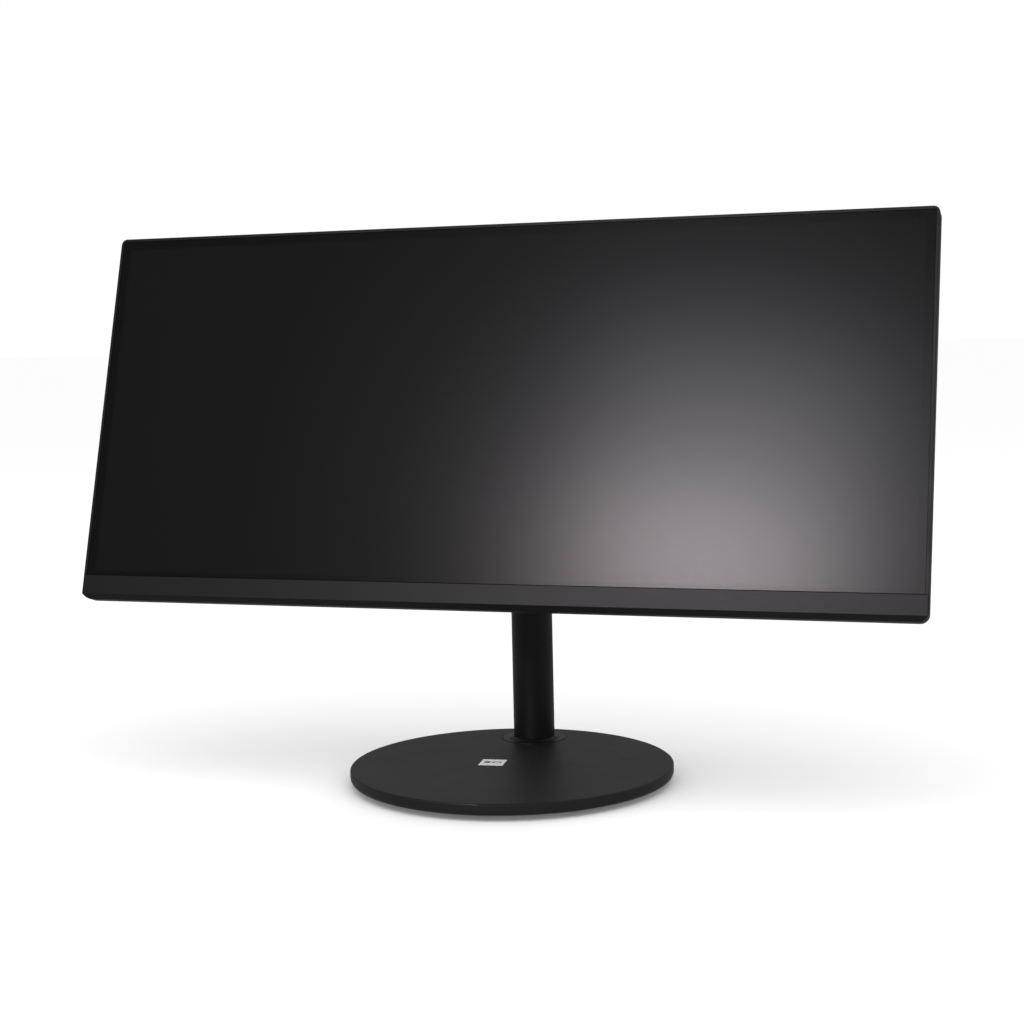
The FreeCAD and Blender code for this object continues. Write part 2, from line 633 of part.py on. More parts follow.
def mounting_inserts():
    """Threaded brass inserts of the 100 mm square pattern."""
    pieces = []
    for number, (side, level) in enumerate(CORNERS):
        at = (f"{side} * vesa_half", f"{level} * vesa_half")
        sleeve = cylinder_piece(f"insert_{number}", "vesa_hole + 2",
                                ("recess_floor - 12", "recess_floor"), at, "Y")
        bore = cylinder_piece(f"insert_bore_{number}", "vesa_hole",
                              ("recess_floor - 10", "recess_floor + 1"), at, "Y")
        pieces.append(cut(f"insert_cut_{number}", sleeve, bore))
    group("mounting_inserts", pieces)


def plate_standoffs():
    """Pillars that carry the mounting plate on the panel chassis."""
    pillars = [cylinder_piece(f"pillar_{number}", 4, ("chassis_back", "recess_floor - 4.6"),
                              (f"{side} * 60", f"{level} * 60"), "Y")
               for number, (side, level) in enumerate(CORNERS)]
    group("plate_standoffs", pillars)


def stand_plate():
    """Plate of the stand that drops into the recess and is held by the latch."""
    body = new_body("stand_plate")
    block(body, "Plate", (-42, 42), ("recess_floor", "recess_floor + 4"), (-42, 42))
    finish_edges(body, "Corners", 5, along_y)
    for number, (side, level) in enumerate(CORNERS):
        rod(body, f"FixHole{number}", 2.3, ("recess_floor - 1", "recess_floor + 5"),
            (f"{side} * fix_half", f"{level} * fix_half"), cut=True)
    for number, (side, level) in enumerate(CORNERS):
        rod(body, f"ForkHole{number}", "fork_screw", ("recess_floor - 1", "recess_floor + 5"),
            (f"{side} * fork_across", f"{level} * fork_up"), cut=True)
    block(body, "LatchNotch", (-15, 15), ("recess_floor - 1", "recess_floor + 5"), (-43, -39.5), cut=True)


def tilt_bracket():
    """Steel fork on the stand plate; its two ears hold the tilt pin."""
    body = new_body("tilt_bracket")
    block(body, "Base", (-26, 26), ("recess_floor + 4", "recess_floor + 6.5"), (-24, 24))
    for number, side in enumerate((-1, 1)):
        low, high = sorted((side * 8, side * 10.5))
        block(body, f"Ear{number}", (low, high), ("recess_floor + 6", 0), (-8, 8))
        rod(body, f"EarEnd{number}", 8, (low, high), (0, 0), axis="X")
    rod(body, "PinHole", "pin_radius", (-12, 12), (0, 0), axis="X", cut=True)
    for number, (side, level) in enumerate(CORNERS):
        rod(body, f"ScrewHole{number}", "fork_screw", ("recess_floor + 3", "recess_floor + 7"),
            (f"{side} * fork_across", f"{level} * fork_up"), cut=True)


def stand_screws():
    """Screws of the stand plate, and those of the fork on it."""
    pieces = []
    for number, (side, level) in enumerate(CORNERS):
        pieces.append(screw(f"plate_screw_{number}", 1.85, 3.9, "recess_floor - 6", "recess_floor + 4",
                            "recess_floor + 6.2", (f"{side} * fix_half", f"{level} * fix_half"), "Y"))
        pieces.append(screw(f"fork_screw_{number}", "fork_screw", 3.6, "recess_floor + 0.5",
                            "recess_floor + 6.5", "recess_floor + 8.9",
                            (f"{side} * fork_across", f"{level} * fork_up"), "Y"))
    group("stand_screws", pieces)


def tilt_pin():
    body = new_body("tilt_pin")
    rod(body, "Shaft", "pin_radius", (-10.5, 17), (0, 0), axis="X")
    rod(body, "Head", "pin_radius + 2.5", (-13, -10.5), (0, 0), axis="X")


def tilt_nut():
    """Hexagon nut that squeezes the friction washers."""
    body = new_body("tilt_nut")
    prism = body.newObject("PartDesign::AdditivePrism", "Hexagon")
    prism.Polygon = 6
    bind(prism, Circumradius="pin_radius + 3", Height=4.5)
    place_along(prism, "X", 10.5, (0, 0))
    rod(body, "Thread", "pin_radius", (10, 16), (0, 0), axis="X", cut=True)


def friction_washers():
    pieces = []
    for number, side in enumerate((-1, 1)):
        low, high = sorted((side * 7.03, side * 8))
        disc = cylinder_piece(f"washer_{number}", 8, (low, high), (0, 0), "X")
        hole = cylinder_piece(f"washer_hole_{number}", "pin_radius", (low - 1, high + 1), (0, 0), "X")
        pieces.append(cut(f"washer_cut_{number}", disc, hole))
    group("friction_washers", pieces)


def release_latch():
    """Sprung button under the stand plate; pressed down, it frees the head."""
    body = new_body("release_latch")
    block(body, "Button", (-14, 14), ("recess_floor + 0.1", "recess_floor + 5"), (-54, -43.2))
    finish_edges(body, "SoftEdges", 1, at_depth(size("recess_floor") + 5))
    block(body, "Tooth", (-10, 10), ("recess_floor + 0.1", "recess_floor + 2.4"), (-43.4, -39.9))


def latch_spring():
    """Small compression spring under the latch, wound as a coil."""
    body = new_body("latch_spring")
    sketch = body.newObject("Sketcher::SketchObject", "WireSection")
    sketch.AttachmentSupport = [(origin_plane(body, "XZ_Plane"), "")]
    sketch.MapMode = "FlatFace"
    sketch.addGeometry(Part.Circle(Vector(1.6, 0, 0), Vector(0, 0, 1), 0.25), False)
    coil = body.newObject("PartDesign::AdditiveHelix", "Coil")
    coil.Profile = sketch
    coil.ReferenceAxis = (sketch, ["V_Axis"])
    coil.Mode = 0
    coil.Pitch = 1.5
    coil.Height = 6.9


# ---------------------------------------------------------------- stand column and lift

def column_tube():
    body = new_body("column_tube")
    rod(body, "Tube", "column_radius", ("column_low", "column_high"), axis="Z")
    rod(body, "Bore", "column_radius - tube_wall", ("column_low - 1", "column_high + 1"), axis="Z", cut=True)
    block(body, "Slot", ("-slot_half", "slot_half"), ("-column_radius - 1", -8),
          ("slot_low", "slot_high"), cut=True)


def column_cap():
    body = new_body("column_cap")
    rod(body, "Lid", "column_radius", ("column_high", "column_high + 6"), axis="Z")
    finish_edges(body, "Dome", 3, at_height(size("column_high") + 6))
    rod(body, "Plug", "column_radius - tube_wall", ("column_high - 7", "column_high + 1"), axis="Z")
    rod(body, "Hollow", "column_radius - tube_wall - 2", ("column_high - 8", "column_high + 3"),
        axis="Z", cut=True)


def column_foot():
    """Rotating collar and spigot that carry the column on the swivel post."""
    body = new_body("column_foot")
    rod(body, "Collar", "collar_radius", ("plate_top + 2.6", "collar_top"), axis="Z")
    finish_edges(body, "CollarEdge", 0.5, at_height(size("collar_top")))
    cone(body, "Step", ("column_radius + 5", "column_radius + 1.2"), ("collar_top", "column_low"))
    rod(body, "Spigot", "column_radius - tube_wall", ("column_low", "column_low + 24"), axis="Z")
    rod(body, "PostBore", "post_radius + running_gap", ("plate_top", "column_low + 12"), axis="Z", cut=True)
    rod(body, "NutWell", 11.5, ("column_low + 11", "column_low + 25"), axis="Z", cut=True)


def guide_rail():
    body = new_body("guide_rail")
    block(body, "Rail", (-5.5, 5.5), (9, "column_radius - tube_wall - 1.2"),
          ("column_low + 30", "column_high - 8"))


def carriage():
    """Sliding block in the column, with the neck and eye that hold the tilt pin."""
    body = new_body("carriage")
    block(body, "Block", (-8.6, 8.6), (-9, 8.6), (-22, 22))
    block(body, "Neck", ("-knuckle_half", "knuckle_half"), ("-pin_ahead", -8), (-9, 9))
    rod(body, "Eye", "knuckle_radius", ("-knuckle_half", "knuckle_half"), ("-pin_ahead", 0), axis="X")
    for number, side in enumerate((-1, 1)):
        low, high = sorted((side * 5.6, side * 7.4))
        block(body, f"DrumEar{number}", (low, high), (-4, 4), (21, 34))
    rod(body, "PinBore", "pin_radius + running_gap", (-9, 9), ("-pin_ahead", 0), axis="X", cut=True)
    rod(body, "DrumBore", 1.5, (-9, 9), (0, 29), axis="X", cut=True)


def slide_pads():
    pieces = []
    for number, (side, level) in enumerate(CORNERS):
        x_low, x_high = sorted((side * 8.6, side * 11.2))
        z_low, z_high = sorted((level * 12, level * 20))
        pieces.append(box_piece(f"pad_{number}", (x_low, x_high), (-5, 5), (z_low, z_high)))
    group("slide_pads", pieces)


def spring_drum():
    """Roll of the constant-force lift spring, on its axle between the carriage's ears."""
    body = new_body("spring_drum")
    rod(body, "Roll", 5.8, (-5.2, 5.2), (0, 29), axis="X")
    rod(body, "Axle", 1.5, (-7.4, 7.4), (0, 29), axis="X")


def lift_spring():
    """Steel strip of the lift spring, from its roll up to the column cap."""
    body = new_body("lift_spring")
    block(body, "Strip", (-4.5, 4.5), (6, 6.3), (29, "column_high - 7 - pin_height"))


# ---------------------------------------------------------------- base

def base_plate():
    body = new_body("base_plate")
    rod(body, "Disc", "base_radius - 5", ("base_under", "plate_top"), (0, "-base_offset"), axis="Z")
    rod(body, "ThumbHole", "thumb_radius + 0.5", ("base_under - 1", "plate_top + 1"), axis="Z", cut=True)
    for number, (across, back) in enumerate(BASE_SCREWS):
        rod(body, f"Hole{number}", 1.6, ("base_under - 1", "plate_top + 1"), (across, back),
            axis="Z", cut=True)


def base_ballast():
    """Cast disc that keeps the stand from tipping."""
    body = new_body("base_ballast")
    rod(body, "Disc", 56, ("plate_top", "cover_ceiling - 0.2"), (0, "-base_offset"), axis="Z")


def base_cover():
    """Shallow round cover with a soft rim and the opening for the collar."""
    body = new_body("base_cover")
    rod(body, "Disc", "base_radius", ("base_under", "base_top"), (0, "-base_offset"), axis="Z")
    finish_edges(body, "TopRim", 1.2, at_height(size("base_top")))
    finish_edges(body, "LowerRim", 4, at_height(size("base_under")))
    rod(body, "Cavity", "base_radius - 5", ("base_under - 1", "cover_ceiling"), (0, "-base_offset"),
        axis="Z", cut=True)
    rod(body, "CollarHole", "collar_radius + 0.5", ("cover_ceiling - 1", "base_top + 1"), axis="Z", cut=True)
    for number, (across, back) in enumerate(BASE_SCREWS):
        rod(body, f"Boss{number}", 3.6, ("plate_top", "cover_ceiling + 0.2"), (across, back), axis="Z")
        rod(body, f"BossHole{number}", 1.3, ("plate_top - 1", "cover_ceiling - 0.6"), (across, back),
            axis="Z", cut=True)


def base_screws():
    pieces = []
    for number, (across, back) in enumerate(BASE_SCREWS):
        shank = cylinder_piece(f"base_screw_shank_{number}", 1.3, ("base_under", "cover_ceiling - 0.7"),
                               (across, back), "Z")
        head = cylinder_piece(f"base_screw_head_{number}", 3, ("base_under - 1.6", "base_under"),
                              (across, back), "Z")
        pieces.append(fuse(f"base_screw_{number}", [shank, head]))
    group("base_screws", pieces)


def rubber_feet():
    pieces = [cylinder_piece(f"foot_{number}", 8, (0, "base_under"), spot, "Z")
              for number, spot in enumerate(FEET)]
    group("rubber_feet", pieces)


def base_label():
    """Blank square label on the base."""
    body = new_body("base_label")
    block(body, "Label", (-25.8, -5.8), (-106, -86), ("base_top", "base_top + 0.15"))


def swivel_post():
    """Post on the base plate that the column turns on, threaded for the thumbscrew."""
    body = new_body("swivel_post")
    rod(body, "Flange", 26, ("plate_top", "plate_top + 2"), axis="Z")
    rod(body, "Post", "post_radius", ("plate_top + 1", "column_low + 17"), axis="Z")
    rod(body, "Thread", "thumb_radius", ("plate_top - 1", "column_low + 8"), axis="Z", cut=True)


def swivel_washer():
    body = new_body("swivel_washer")
    rod(body, "Ring", 25, ("plate_top + 2", "plate_top + 2.55"), axis="Z")
    rod(body, "Eye", "post_radius", ("plate_top + 1", "plate_top + 3"), axis="Z", cut=True)


def swivel_nut():
    body = new_body("swivel_nut")
    prism = body.newObject("PartDesign::AdditivePrism", "Hexagon")
    prism.Polygon = 6
    bind(prism, Circumradius="post_radius + 3.6", Height=4.5)
    place_along(prism, "Z", "column_low + 12.1", (0, 0))
    rod(body, "Thread", "post_radius", ("column_low + 11", "column_low + 18"), axis="Z", cut=True)


def thumbscrew():
    """Hand screw under the base that pulls the post down on the plate."""
    body = new_body("thumbscrew")
    rod(body, "Head", 10, (0.7, "base_under - 0.2"), axis="Z")
    block(body, "CoinSlot", (-8, 8), (-0.8, 0.8), (0, 1.8), cut=True)
    rod(body, "Shank", "thumb_radius - running_gap", ("base_under - 0.3", "column_low + 6"), axis="Z")


# ---------------------------------------------------------------- assembly

HEAD_PARTS = [front_frame, chin_trim, power_lamp_lens, rear_cover, electronics_cover, stand_recess,
              cover_screws, display_stack, backlight_strip, timing_board, main_board, driver_board,
              board_standoffs, board_screws, heat_sink, port_panel, sockets, board_shield, speakers,
              ribbon_cable, joystick, mounting_plate, mounting_inserts, plate_standoffs, stand_plate,
              stand_screws, tilt_bracket, tilt_pin, tilt_nut, friction_washers, release_latch, latch_spring]
COLUMN_PARTS = [column_tube, column_cap, column_foot, guide_rail]
CARRIAGE_PARTS = [carriage, slide_pads, spring_drum, lift_spring]
BASE_PARTS = [base_plate, base_ballast, base_cover, base_screws, rubber_feet, base_label, swivel_post,
              swivel_washer, swivel_nut, thumbscrew]


def place(part, rotation, x, y, z):
    """Stand a finished sub-part in the assembly; the offsets are rules on the sheet."""
    part.Placement = Placement(Vector(), rotation).multiply(part.Placement)
    bind(part, Placement__Base__x=x, Placement__Base__y=y, Placement__Base__z=z)


def assemble():
    lean = Rotation(Vector(1, 0, 0), -size("tilt_rest"))
    turn = Rotation(Vector(0, 0, 1), size("base_turn"))
    stages = [(HEAD_PARTS, lean, "column_back - pin_ahead", "pin_height"),
              (COLUMN_PARTS, Rotation(), "column_back", 0),
              (CARRIAGE_PARTS, Rotation(), "column_back", "pin_height"),
              (BASE_PARTS, turn, "column_back", 0)]
    for makers, rotation, back, height in stages:
        known = set(nodes)
        for make in makers:
            make()
        document.recompute()
        for label in [name for name in nodes if name not in known]:
            place(nodes[label], rotation, 0, back, height)
    seat = lean.multVec(Vector(0, size("recess_floor") + 2.6, -size("recess_half") + 0.3))
    place(nodes["latch_spring"], Rotation(), 0, f"column_back - pin_ahead + {seat.y}",
          f"pin_height + {seat.z}")
    document.recompute()


def check_and_export():
    for item in document.Objects:
        if "Invalid" in item.State or "Error" in item.State:
            raise RuntimeError(f"{item.Label}: {item.State}")
    for label, item in nodes.items():
        if item.Shape.isNull() or not item.Shape.isValid() or not item.Shape.Solids:
            raise RuntimeError(f"{label}: bad shape")
    os.makedirs("parts", exist_ok=True)
    for label, item in nodes.items():
        item.Shape.exportStep(f"parts/{label}.step")
        box = item.Shape.BoundBox
        print(f"{label}: {len(item.Shape.Solids)} solid(s), {item.Shape.Volume:.0f} mm3, "
              f"x {box.XMin:.1f}..{box.XMax:.1f} y {box.YMin:.1f}..{box.YMax:.1f} "
              f"z {box.ZMin:.1f}..{box.ZMax:.1f}")


assemble()
check_and_export()
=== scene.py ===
"""Looks of the ultra-wide monitor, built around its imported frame. Metres, in the frame's own axes."""
import json
import math
import bmesh
import bpy
from mathutils import Matrix, Vector


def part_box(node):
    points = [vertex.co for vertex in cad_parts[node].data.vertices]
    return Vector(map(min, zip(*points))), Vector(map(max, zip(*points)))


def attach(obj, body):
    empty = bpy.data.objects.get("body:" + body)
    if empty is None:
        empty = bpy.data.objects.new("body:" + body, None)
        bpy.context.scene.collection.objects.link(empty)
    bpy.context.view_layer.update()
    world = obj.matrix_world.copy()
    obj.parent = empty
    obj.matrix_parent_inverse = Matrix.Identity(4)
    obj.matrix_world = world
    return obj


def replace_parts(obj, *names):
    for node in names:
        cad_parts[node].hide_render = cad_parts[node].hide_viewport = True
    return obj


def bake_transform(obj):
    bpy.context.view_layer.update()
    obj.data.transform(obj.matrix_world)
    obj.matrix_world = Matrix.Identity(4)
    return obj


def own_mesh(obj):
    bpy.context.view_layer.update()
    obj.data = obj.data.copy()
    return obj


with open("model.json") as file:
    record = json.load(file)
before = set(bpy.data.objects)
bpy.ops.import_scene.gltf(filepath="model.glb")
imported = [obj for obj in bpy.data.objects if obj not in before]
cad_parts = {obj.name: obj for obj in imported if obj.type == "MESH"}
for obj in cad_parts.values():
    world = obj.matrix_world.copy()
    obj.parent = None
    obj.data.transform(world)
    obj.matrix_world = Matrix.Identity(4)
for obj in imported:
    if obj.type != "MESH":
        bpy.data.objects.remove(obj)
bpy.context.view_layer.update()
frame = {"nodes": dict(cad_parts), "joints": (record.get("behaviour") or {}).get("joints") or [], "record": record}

MM = 0.001
joints = {joint["name"]: joint for joint in frame["joints"]}
mounts = {mount["name"]: mount for mount in frame["record"]["mounts"]}

# The head leans back about the tilt pin; its own axes are used for everything drawn on it.
PIN = Vector(joints["tilt"]["pos_m"])
HEAD_BACK = Vector(mounts["wall_mount_holes"]["axis"]).normalized()
HEAD_UP = Vector((1, 0, 0)).cross(HEAD_BACK)
COLUMN = Vector(joints["swivel"]["pos_m"])


def on_head(across, depth, up):
    """A point of the upright head, in millimetres from its pin, in the row frame."""
    return PIN + Vector((across * MM, 0, 0)) + HEAD_BACK * (depth * MM) + HEAD_UP * (up * MM)


def head_matrix(across, depth, up):
    """A frame at a point of the head, turned as the head is."""
    spot = on_head(across, depth, up)
    turn = Matrix((Vector((1, 0, 0)), HEAD_BACK, HEAD_UP)).transposed().to_4x4()
    return Matrix.Translation(spot) @ turn


# ---------------------------------------------------------------- materials

class Shading:
    """A small helper around one material's node tree."""

    def __init__(self, name):
        self.material = bpy.data.materials.new(name)
        self.material.use_nodes = True
        self.tree = self.material.node_tree
        self.nodes = self.tree.nodes
        self.shader = self.nodes["Principled BSDF"]
        self.place = self.nodes.new("ShaderNodeTexCoord").outputs["Object"]

    def link(self, source, target):
        self.tree.links.new(source, target)
        return self

    def stretched(self, scale):
        """The object's own coordinates, scaled differently along each axis."""
        mapping = self.nodes.new("ShaderNodeMapping")
        mapping.inputs["Scale"].default_value = scale
        self.link(self.place, mapping.inputs["Vector"])
        return mapping.outputs["Vector"]

    def noise(self, scale, detail=3.0, rough=0.5, place=None):
        node = self.nodes.new("ShaderNodeTexNoise")
        node.inputs["Scale"].default_value = scale
        node.inputs["Detail"].default_value = detail
        node.inputs["Roughness"].default_value = rough
        self.link(place or self.place, node.inputs["Vector"])
        return node.outputs["Fac"]

    def cells(self, scale):
        node = self.nodes.new("ShaderNodeTexVoronoi")
        node.inputs["Scale"].default_value = scale
        self.link(self.place, node.inputs["Vector"])
        return node.outputs["Distance"]

    def ramp(self, factor, low, high, out_low, out_high):
        node = self.nodes.new("ShaderNodeMapRange")
        node.inputs["From Min"].default_value = low
        node.inputs["From Max"].default_value = high
        node.inputs["To Min"].default_value = out_low
        node.inputs["To Max"].default_value = out_high
        self.link(factor, node.inputs["Value"])
        return node.outputs["Result"]

    def blend(self, factor, first, second):
        node = self.nodes.new("ShaderNodeMix")
        node.data_type = "RGBA"
        node.inputs["A"].default_value = (*first, 1)
        node.inputs["B"].default_value = (*second, 1)
        self.link(factor, node.inputs["Factor"])
        return node.outputs["Result"]

    def math(self, kind, first, second=0.0, third=0.0):
        node = self.nodes.new("ShaderNodeMath")
        node.operation = kind
        for socket, value in zip(node.inputs, (first, second, third)):
            if isinstance(value, (int, float)):
                socket.default_value = value
            else:
                self.link(value, socket)
        return node.outputs["Value"]

    def bump(self, height, depth, strength=1.0):
        node = self.nodes.new("ShaderNodeBump")
        node.inputs["Strength"].default_value = strength
        node.inputs["Distance"].default_value = depth
        self.link(height, node.inputs["Height"])
        self.link(node.outputs["Normal"], self.shader.inputs["Normal"])
        return self

    def colour(self, factor, first, second):
        """Base colour between two tints, led by the factor."""
        return self.link(self.blend(factor, first, second), self.shader.inputs["Base Color"])

    def gloss(self, factor, low, high, out_low, out_high):
        """Roughness between two values, while the factor goes from low to high."""
        return self.link(self.ramp(factor, low, high, out_low, out_high), self.shader.inputs["Roughness"])

    def set(self, **values):
        for name, value in values.items():
            self.shader.inputs[name.replace("_", " ")].default_value = value
        return self


def tint(value, warmth=0.0):
    """A grey, made redder and less blue by its warmth."""
    return (value * (1 + warmth), value, value * (1 - warmth))


def moulded(name, dark, light, roughness, specular, grain_scale=1500, grain_depth=0.00003):
    """Moulded or coated surface: fine grain, slow colour drift and slightly varying gloss."""
    look = Shading(name)
    drift = look.noise(14, 4)
    speckle = look.noise(grain_scale * 0.6, 2)
    mixed = look.math("MULTIPLY_ADD", speckle, 0.5, look.math("MULTIPLY", drift, 0.5))
    look.colour(mixed, tint(dark), tint(light))
    smudge = look.noise(34, 5, 0.62)
    look.gloss(smudge, 0.3, 0.7, roughness - 0.05, roughness + 0.06)
    look.set(Specular_IOR_Level=specular)
    look.bump(look.noise(grain_scale, 2), grain_depth)
    return look.material


def brushed(name, dark, light, roughness, along, warmth=0.0):
    """Plated or brushed metal with fine lines along one direction."""
    look = Shading(name)
    lines = look.noise(1.0, 4, 0.6, look.stretched(along))
    look.colour(lines, tint(dark, warmth), tint(light, warmth))
    look.gloss(lines, 0.3, 0.7, roughness - 0.08, roughness + 0.1)
    look.set(Metallic=1.0)
    look.bump(lines, 0.00002, 0.6)
    return look.material


def head_mask(look, half_width, low, high, soft):
    """One inside a rectangle of the head's own face and zero outside it; sizes in metres from the pin."""
    parts = look.nodes.new("ShaderNodeSeparateXYZ")
    look.link(look.place, parts.inputs["Vector"])
    across = look.math("ABSOLUTE", parts.outputs["X"])
    up = look.math("MULTIPLY_ADD", parts.outputs["Y"], HEAD_UP.y,
                   look.math("MULTIPLY", parts.outputs["Z"], HEAD_UP.z))
    base = PIN.dot(HEAD_UP)
    side = look.ramp(across, half_width - soft, half_width + soft, 1.0, 0.0)
    lower = look.ramp(up, base + low - soft, base + low + soft, 0.0, 1.0)
    upper = look.ramp(up, base + high - soft, base + high + soft, 1.0, 0.0)
    return look.math("MULTIPLY", side, look.math("MULTIPLY", lower, upper))


# The border of the screen that never lights is a shade darker than the rest, and this wide.
BORDER = 0.007
BORDER_EDGE = 0.0012        # half the width over which it fades into the rest


def face_limits(node):
    """Half width, lowest and highest place of a flat node on the head, in metres from the pin."""
    places = [vertex.co for vertex in frame["nodes"][node].data.vertices]
    heights = [HEAD_UP.dot(place - PIN) for place in places]
    return max(place.x for place in places), min(heights), max(heights)


def screen_material():
    """Anti-glare display face, switched off: very dark, with a soft blurred reflection."""
    look = Shading("screen_face")
    half, low, high = face_limits("display_glass")
    lit_area = head_mask(look, half - BORDER, low + BORDER / 2, high - BORDER, BORDER_EDGE)
    drift = look.noise(3, 3)
    dark = look.blend(drift, (0.0045, 0.0045, 0.0050), (0.0060, 0.0058, 0.0064))
    mix = look.nodes.new("ShaderNodeMix")
    mix.data_type = "RGBA"
    mix.inputs["A"].default_value = (0.0028, 0.0028, 0.0031, 1)
    look.link(lit_area, mix.inputs["Factor"])
    look.link(dark, mix.inputs["B"])
    look.link(mix.outputs["Result"], look.shader.inputs["Base Color"])
    haze = look.noise(1100, 2)
    gloss = look.ramp(haze, 0.3, 0.7, 0.235, 0.265)
    smoother = look.math("MULTIPLY", lit_area, 0.01)
    look.link(look.math("SUBTRACT", gloss, smoother), look.shader.inputs["Roughness"])
    look.set(Specular_IOR_Level=0.13)
    look.bump(look.noise(2600, 2), 0.000006, 0.5)
    return look.material


def label_material():
    """White label film with a faint fibrous texture."""
    look = Shading("label_film")
    fibre = look.noise(420, 4)
    look.colour(fibre, (0.70, 0.70, 0.69), (0.78, 0.78, 0.77))
    look.set(Roughness=0.38)
    look.bump(look.noise(900, 2), 0.00001)
    return look.material


def board_material():
    """Green lacquer over a mesh of copper areas."""
    look = Shading("circuit_board")
    traces = look.cells(260)
    mask = look.ramp(traces, 0.16, 0.24, 0.0, 1.0)
    look.colour(mask, (0.02, 0.10, 0.05), (0.008, 0.045, 0.022))
    look.set(Roughness=0.35)
    look.bump(mask, 0.00004)
    return look.material


def film_material():
    """Milky white diffuser film."""
    look = Shading("optical_film")
    haze = look.noise(60, 3)
    look.colour(haze, (0.72, 0.72, 0.71), (0.85, 0.85, 0.85))
    look.set(Roughness=0.3)
    look.bump(look.noise(2000, 2), 0.00001)
    return look.material


def acrylic_material():
    """Clear light guide with printed dots."""
    look = Shading("light_guide")
    dots = look.cells(500)
    look.gloss(dots, 0.1, 0.4, 0.12, 0.05)
    look.set(Base_Color=(0.86, 0.9, 0.9, 1), Transmission_Weight=0.9, IOR=1.49)
    look.bump(dots, 0.00003)
    return look.material


def rubber_material():
    """Dull black rubber."""
    look = Shading("rubber")
    look.colour(look.noise(900, 3), (0.011, 0.011, 0.011), (0.028, 0.028, 0.027))
    look.set(Roughness=0.85)
    look.bump(look.noise(1400, 3), 0.00006)
    return look.material


def cast_material():
    """Rough sand-cast metal."""
    look = Shading("cast_metal")
    sand = look.noise(700, 5, 0.7)
    look.colour(sand, (0.05, 0.05, 0.052), (0.14, 0.14, 0.145))
    look.set(Roughness=0.6, Metallic=0.7)
    look.bump(sand, 0.00012)
    return look.material


def column_material():
    """Satin black coat over a drawn tube: faint lengthwise lines under an even fine texture."""
    look = Shading("column_coat")
    lines = look.noise(1.0, 3, 0.5, look.stretched((700, 700, 6)))
    grain = look.noise(1700, 2)
    look.colour(lines, (0.0042, 0.0042, 0.0045), (0.0075, 0.0074, 0.0078))
    look.gloss(lines, 0.3, 0.7, 0.36, 0.44)
    look.set(Specular_IOR_Level=0.22)
    look.bump(look.math("MULTIPLY_ADD", lines, 0.4, look.math("MULTIPLY", grain, 0.6)), 0.00002)
    return look.material


def base_material():
    """Base cover: fine moulded texture with an even satin sheen."""
    look = Shading("base_cover")
    grain = look.cells(1500)
    drift = look.noise(9, 4)
    look.colour(drift, (0.0085, 0.0085, 0.0090), (0.0125, 0.0122, 0.0128))
    smudge = look.noise(30, 5, 0.6)
    look.gloss(smudge, 0.3, 0.7, 0.44, 0.48)
    look.set(Specular_IOR_Level=0.22)
    look.bump(grain, 0.00003, 0.7)
    return look.material


def chin_material():
    """Lower bar: satin finish with a very fine lengthwise brushed texture."""
    look = Shading("chin_bar")
    lines = look.noise(1.0, 3, 0.55, look.stretched((60, 2600, 2600)))
    look.colour(lines, (0.0070, 0.0070, 0.0078), (0.0115, 0.0112, 0.0122))
    look.gloss(lines, 0.3, 0.7, 0.41, 0.45)
    look.set(Specular_IOR_Level=0.14)
    look.bump(lines, 0.00001, 0.5)
    return look.material


MATERIALS = {
    "housing": moulded("housing_black", dark=0.0050, light=0.0085, roughness=0.46, specular=0.18,
                       grain_scale=1300, grain_depth=0.00004),
    "chin": chin_material(),
    "screen": screen_material(),
    "lens": moulded("smoke_lens", dark=0.16, light=0.22, roughness=0.22, specular=0.5,
                    grain_scale=900, grain_depth=0.00001),
    "optical_film": film_material(),
    "light_guide": acrylic_material(),
    "white_plastic": moulded("white_plastic", dark=0.62, light=0.72, roughness=0.45, specular=0.4),
    "sheet_steel": brushed("zinc_sheet", dark=0.42, light=0.58, roughness=0.36, along=(40, 700, 700)),
    "circuit_board": board_material(),
    "aluminium": brushed("aluminium", dark=0.55, light=0.7, roughness=0.34, along=(30, 500, 900)),
    "socket_metal": brushed("nickel_plate", dark=0.48, light=0.62, roughness=0.28, along=(300, 60, 300)),
    "black_plastic": moulded("black_plastic", dark=0.008, light=0.016, roughness=0.42, specular=0.35),
    "brass": brushed("brass", dark=0.44, light=0.56, roughness=0.3, along=(500, 60, 500), warmth=0.28),
    "hinge_steel": brushed("dark_steel", dark=0.10, light=0.17, roughness=0.42, along=(600, 600, 60)),
    "screw_steel": brushed("black_zinc", dark=0.045, light=0.09, roughness=0.4, along=(900, 900, 900)),
    "column_paint": column_material(),
    "base_satin": base_material(),
    "ballast": cast_material(),
    "rubber": rubber_material(),
    "label": label_material(),
    "slide_plastic": moulded("acetal", dark=0.5, light=0.6, roughness=0.4, specular=0.4),
    "spring_steel": brushed("spring_strip", dark=0.25, light=0.36, roughness=0.3, along=(900, 900, 20)),
}
slot_of = {entry["node"]: entry["material_slot"] for entry in frame["record"]["subparts"]}

# The back is moulded with a coarser spark-eroded texture than the rim around the screen.
REAR = moulded("rear_textured", dark=0.014, light=0.024, roughness=0.5, specular=0.3,
               grain_scale=1000, grain_depth=0.00007)
REAR_NODES = ("rear_cover", "electronics_cover", "stand_recess")


def dress_nodes():
    for name, node in frame["nodes"].items():
        node.data.materials.clear()
        node.data.materials.append(REAR if name in REAR_NODES else MATERIALS[slot_of[name]])


def dress(piece, slot, body):
    piece.data.materials.append(MATERIALS[slot])
    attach(piece, body)
    return piece


# ---------------------------------------------------------------- detail pieces

